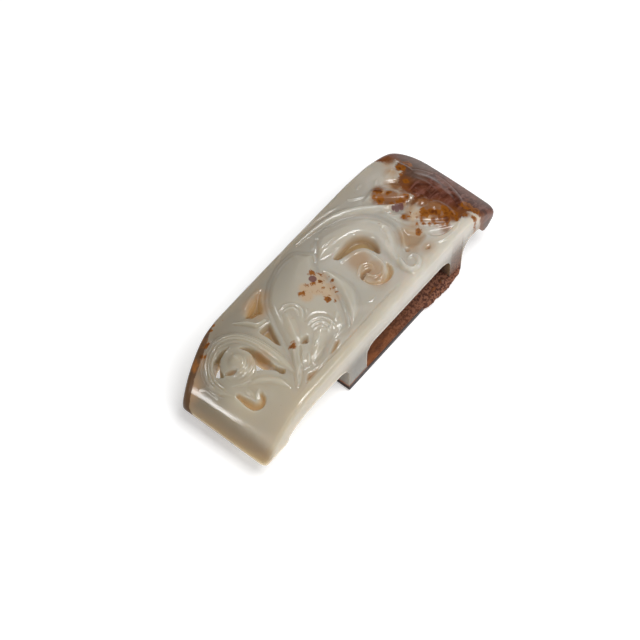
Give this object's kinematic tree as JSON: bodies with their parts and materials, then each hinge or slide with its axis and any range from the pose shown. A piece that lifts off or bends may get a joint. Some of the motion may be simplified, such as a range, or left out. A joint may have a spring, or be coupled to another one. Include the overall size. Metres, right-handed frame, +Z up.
{
  "type": "jade scabbard slide",
  "caption": "Carved jade scabbard slide: an arched plate with a crawling dragon in relief over a flat-based loop, with a slot that a belt passes through.",
  "frame": {"origin": "on the flat underside of the base, below the middle of the plate's length and width", "axes": "+X along the plate towards its dark russet end, +Y to the plate's left side, +Z up out of the carved top"},
  "size_m": [0.076, 0.0271, 0.0175],
  "materials": {
    "jade": "polished pale grey-green jade with russet skin at one end"
  },
  "bodies": {
    "root": {"slide": "jade"}
  },
  "joints": []
}
